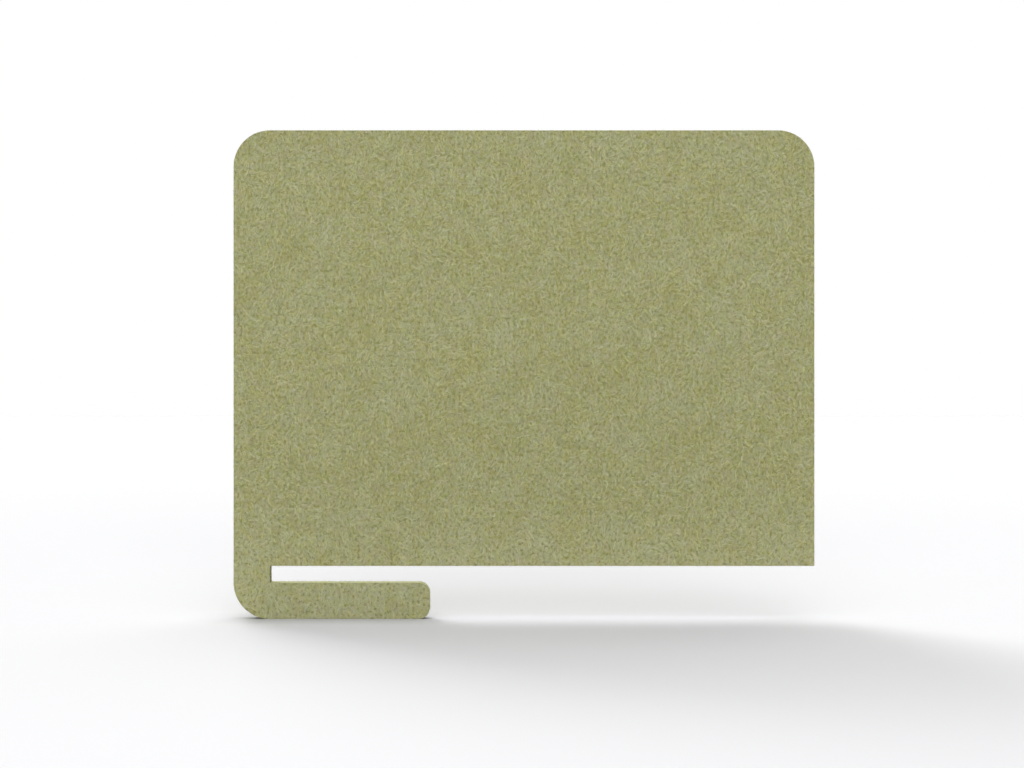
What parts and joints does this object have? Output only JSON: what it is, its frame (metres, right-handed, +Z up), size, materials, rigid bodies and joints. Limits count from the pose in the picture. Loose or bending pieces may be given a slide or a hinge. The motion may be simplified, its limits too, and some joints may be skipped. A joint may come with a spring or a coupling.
{
  "type": "acoustic desk divider screen",
  "caption": "Flat desk divider in pressed PET felt. An open slot between the panel and its lower leg slides over the edge of a worktop and holds the panel upright.",
  "frame": {"origin": "middle of the board's thickness, on the line where the slot's end wall meets the underside of the panel: with the screen fitted it lies on the top edge of the worktop", "axes": "+X out of the slot and along the panel's width, from the arm to the free end; +Y through the board's thickness, from the front sheet to the rear sheet; +Z up, from the worktop to the panel's top edge"},
  "size_m": [0.8, 0.0242, 0.673],
  "materials": {
    "front_felt": "matte",
    "rear_felt": "matte",
    "adhesive": "matte"
  },
  "bodies": {
    "root": {"front_sheet": "front_felt", "adhesive_film": "adhesive", "rear_sheet": "rear_felt"}
  },
  "joints": []
}
